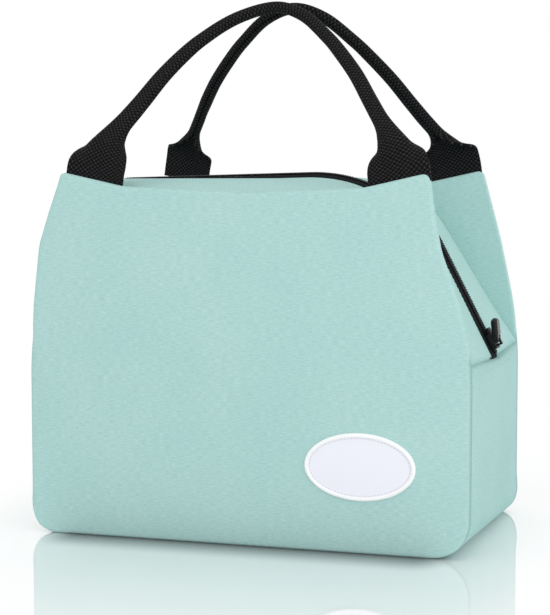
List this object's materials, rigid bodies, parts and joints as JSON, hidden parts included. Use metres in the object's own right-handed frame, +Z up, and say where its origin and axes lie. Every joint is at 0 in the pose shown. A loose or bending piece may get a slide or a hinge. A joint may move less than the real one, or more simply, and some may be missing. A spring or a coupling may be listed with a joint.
{
  "type": "insulated lunch bag",
  "caption": "Soft insulated lunch bag with padded walls, a wide zip over the top that lets front and back fold open, and standing webbing carry handles.",
  "frame": {"origin": "middle of the base, on the ground", "axes": "+Z up, front panel with the badge towards -Y, zip slider side towards +X"},
  "size_m": [0.2641, 0.1478, 0.312],
  "materials": {
    "outer_cloth": "matt plain-woven cloth",
    "webbing": "coarse woven webbing",
    "zip_tape": "woven tape",
    "zip_coil": "nylon coil",
    "slider": "enamelled die casting",
    "pull": "gloss moulded",
    "foam": "closed-cell foam sheet",
    "lining": "metallised film",
    "binding": "woven binding tape",
    "badge": "soft moulded, satin"
  },
  "bodies": {
    "lower_bag": {"base_gusset": "outer_cloth", "gusset_foam": "foam", "gusset_lining": "lining", "zip_end_right": "zip_tape", "zip_end_left": "zip_tape", "badge": "badge", "front_panel_lower": "outer_cloth", "front_foam_lower": "foam", "front_lining_lower": "lining", "front_binding_lower": "binding", "back_panel_lower": "outer_cloth", "back_foam_lower": "foam", "back_lining_lower": "lining", "back_binding_lower": "binding"},
    "front_flap": {"front_panel_upper": "outer_cloth", "front_foam_upper": "foam", "front_lining_upper": "lining", "front_binding_upper": "binding", "front_zip_band": "outer_cloth", "front_band_foam": "foam", "front_band_lining": "lining", "front_zip_tape": "zip_tape", "front_zip_coil": "zip_coil", "front_handle_ends": "webbing"},
    "back_flap": {"back_panel_upper": "outer_cloth", "back_foam_upper": "foam", "back_lining_upper": "lining", "back_binding_upper": "binding", "back_zip_band": "outer_cloth", "back_band_foam": "foam", "back_band_lining": "lining", "back_zip_tape": "zip_tape", "back_zip_coil": "zip_coil", "back_handle_ends": "webbing"},
    "front_handle": {"front_handle": "webbing"},
    "back_handle": {"back_handle": "webbing"},
    "zip_slider": {"zip_slider": "slider"},
    "zip_pull": {"zip_pull": "pull"}
  },
  "joints": [
    {"name": "front_fold", "type": "hinge", "parent": "lower_bag", "child": "front_flap", "pos_m": [0, -0.073, 0.1062], "axis": [1, 0, 0], "range_deg": [0, 30]},
    {"name": "back_fold", "type": "hinge", "parent": "lower_bag", "child": "back_flap", "pos_m": [0, 0.073, 0.1062], "axis": [-1, 0, 0], "range_deg": [0, 30]},
    {"name": "front_handle_swing", "type": "hinge", "parent": "front_flap", "child": "front_handle", "pos_m": [0, -0.0706, 0.2154], "axis": [1, 0, 0], "range_deg": [0, 140]},
    {"name": "back_handle_swing", "type": "hinge", "parent": "back_flap", "child": "back_handle", "pos_m": [0, 0.0706, 0.2154], "axis": [-1, 0, 0], "range_deg": [0, 140]},
    {"name": "zip_slide", "type": "slide", "parent": "lower_bag", "child": "zip_slider", "axis": [-0.4617, 0, 0.887], "range_m": [0, 0.06]},
    {"name": "pull_turn", "type": "hinge", "parent": "zip_slider", "child": "zip_pull", "pos_m": [0.13034, 0, 0.11311], "axis": [0, 1, 0], "range_deg": [0, 115]}
  ]
}
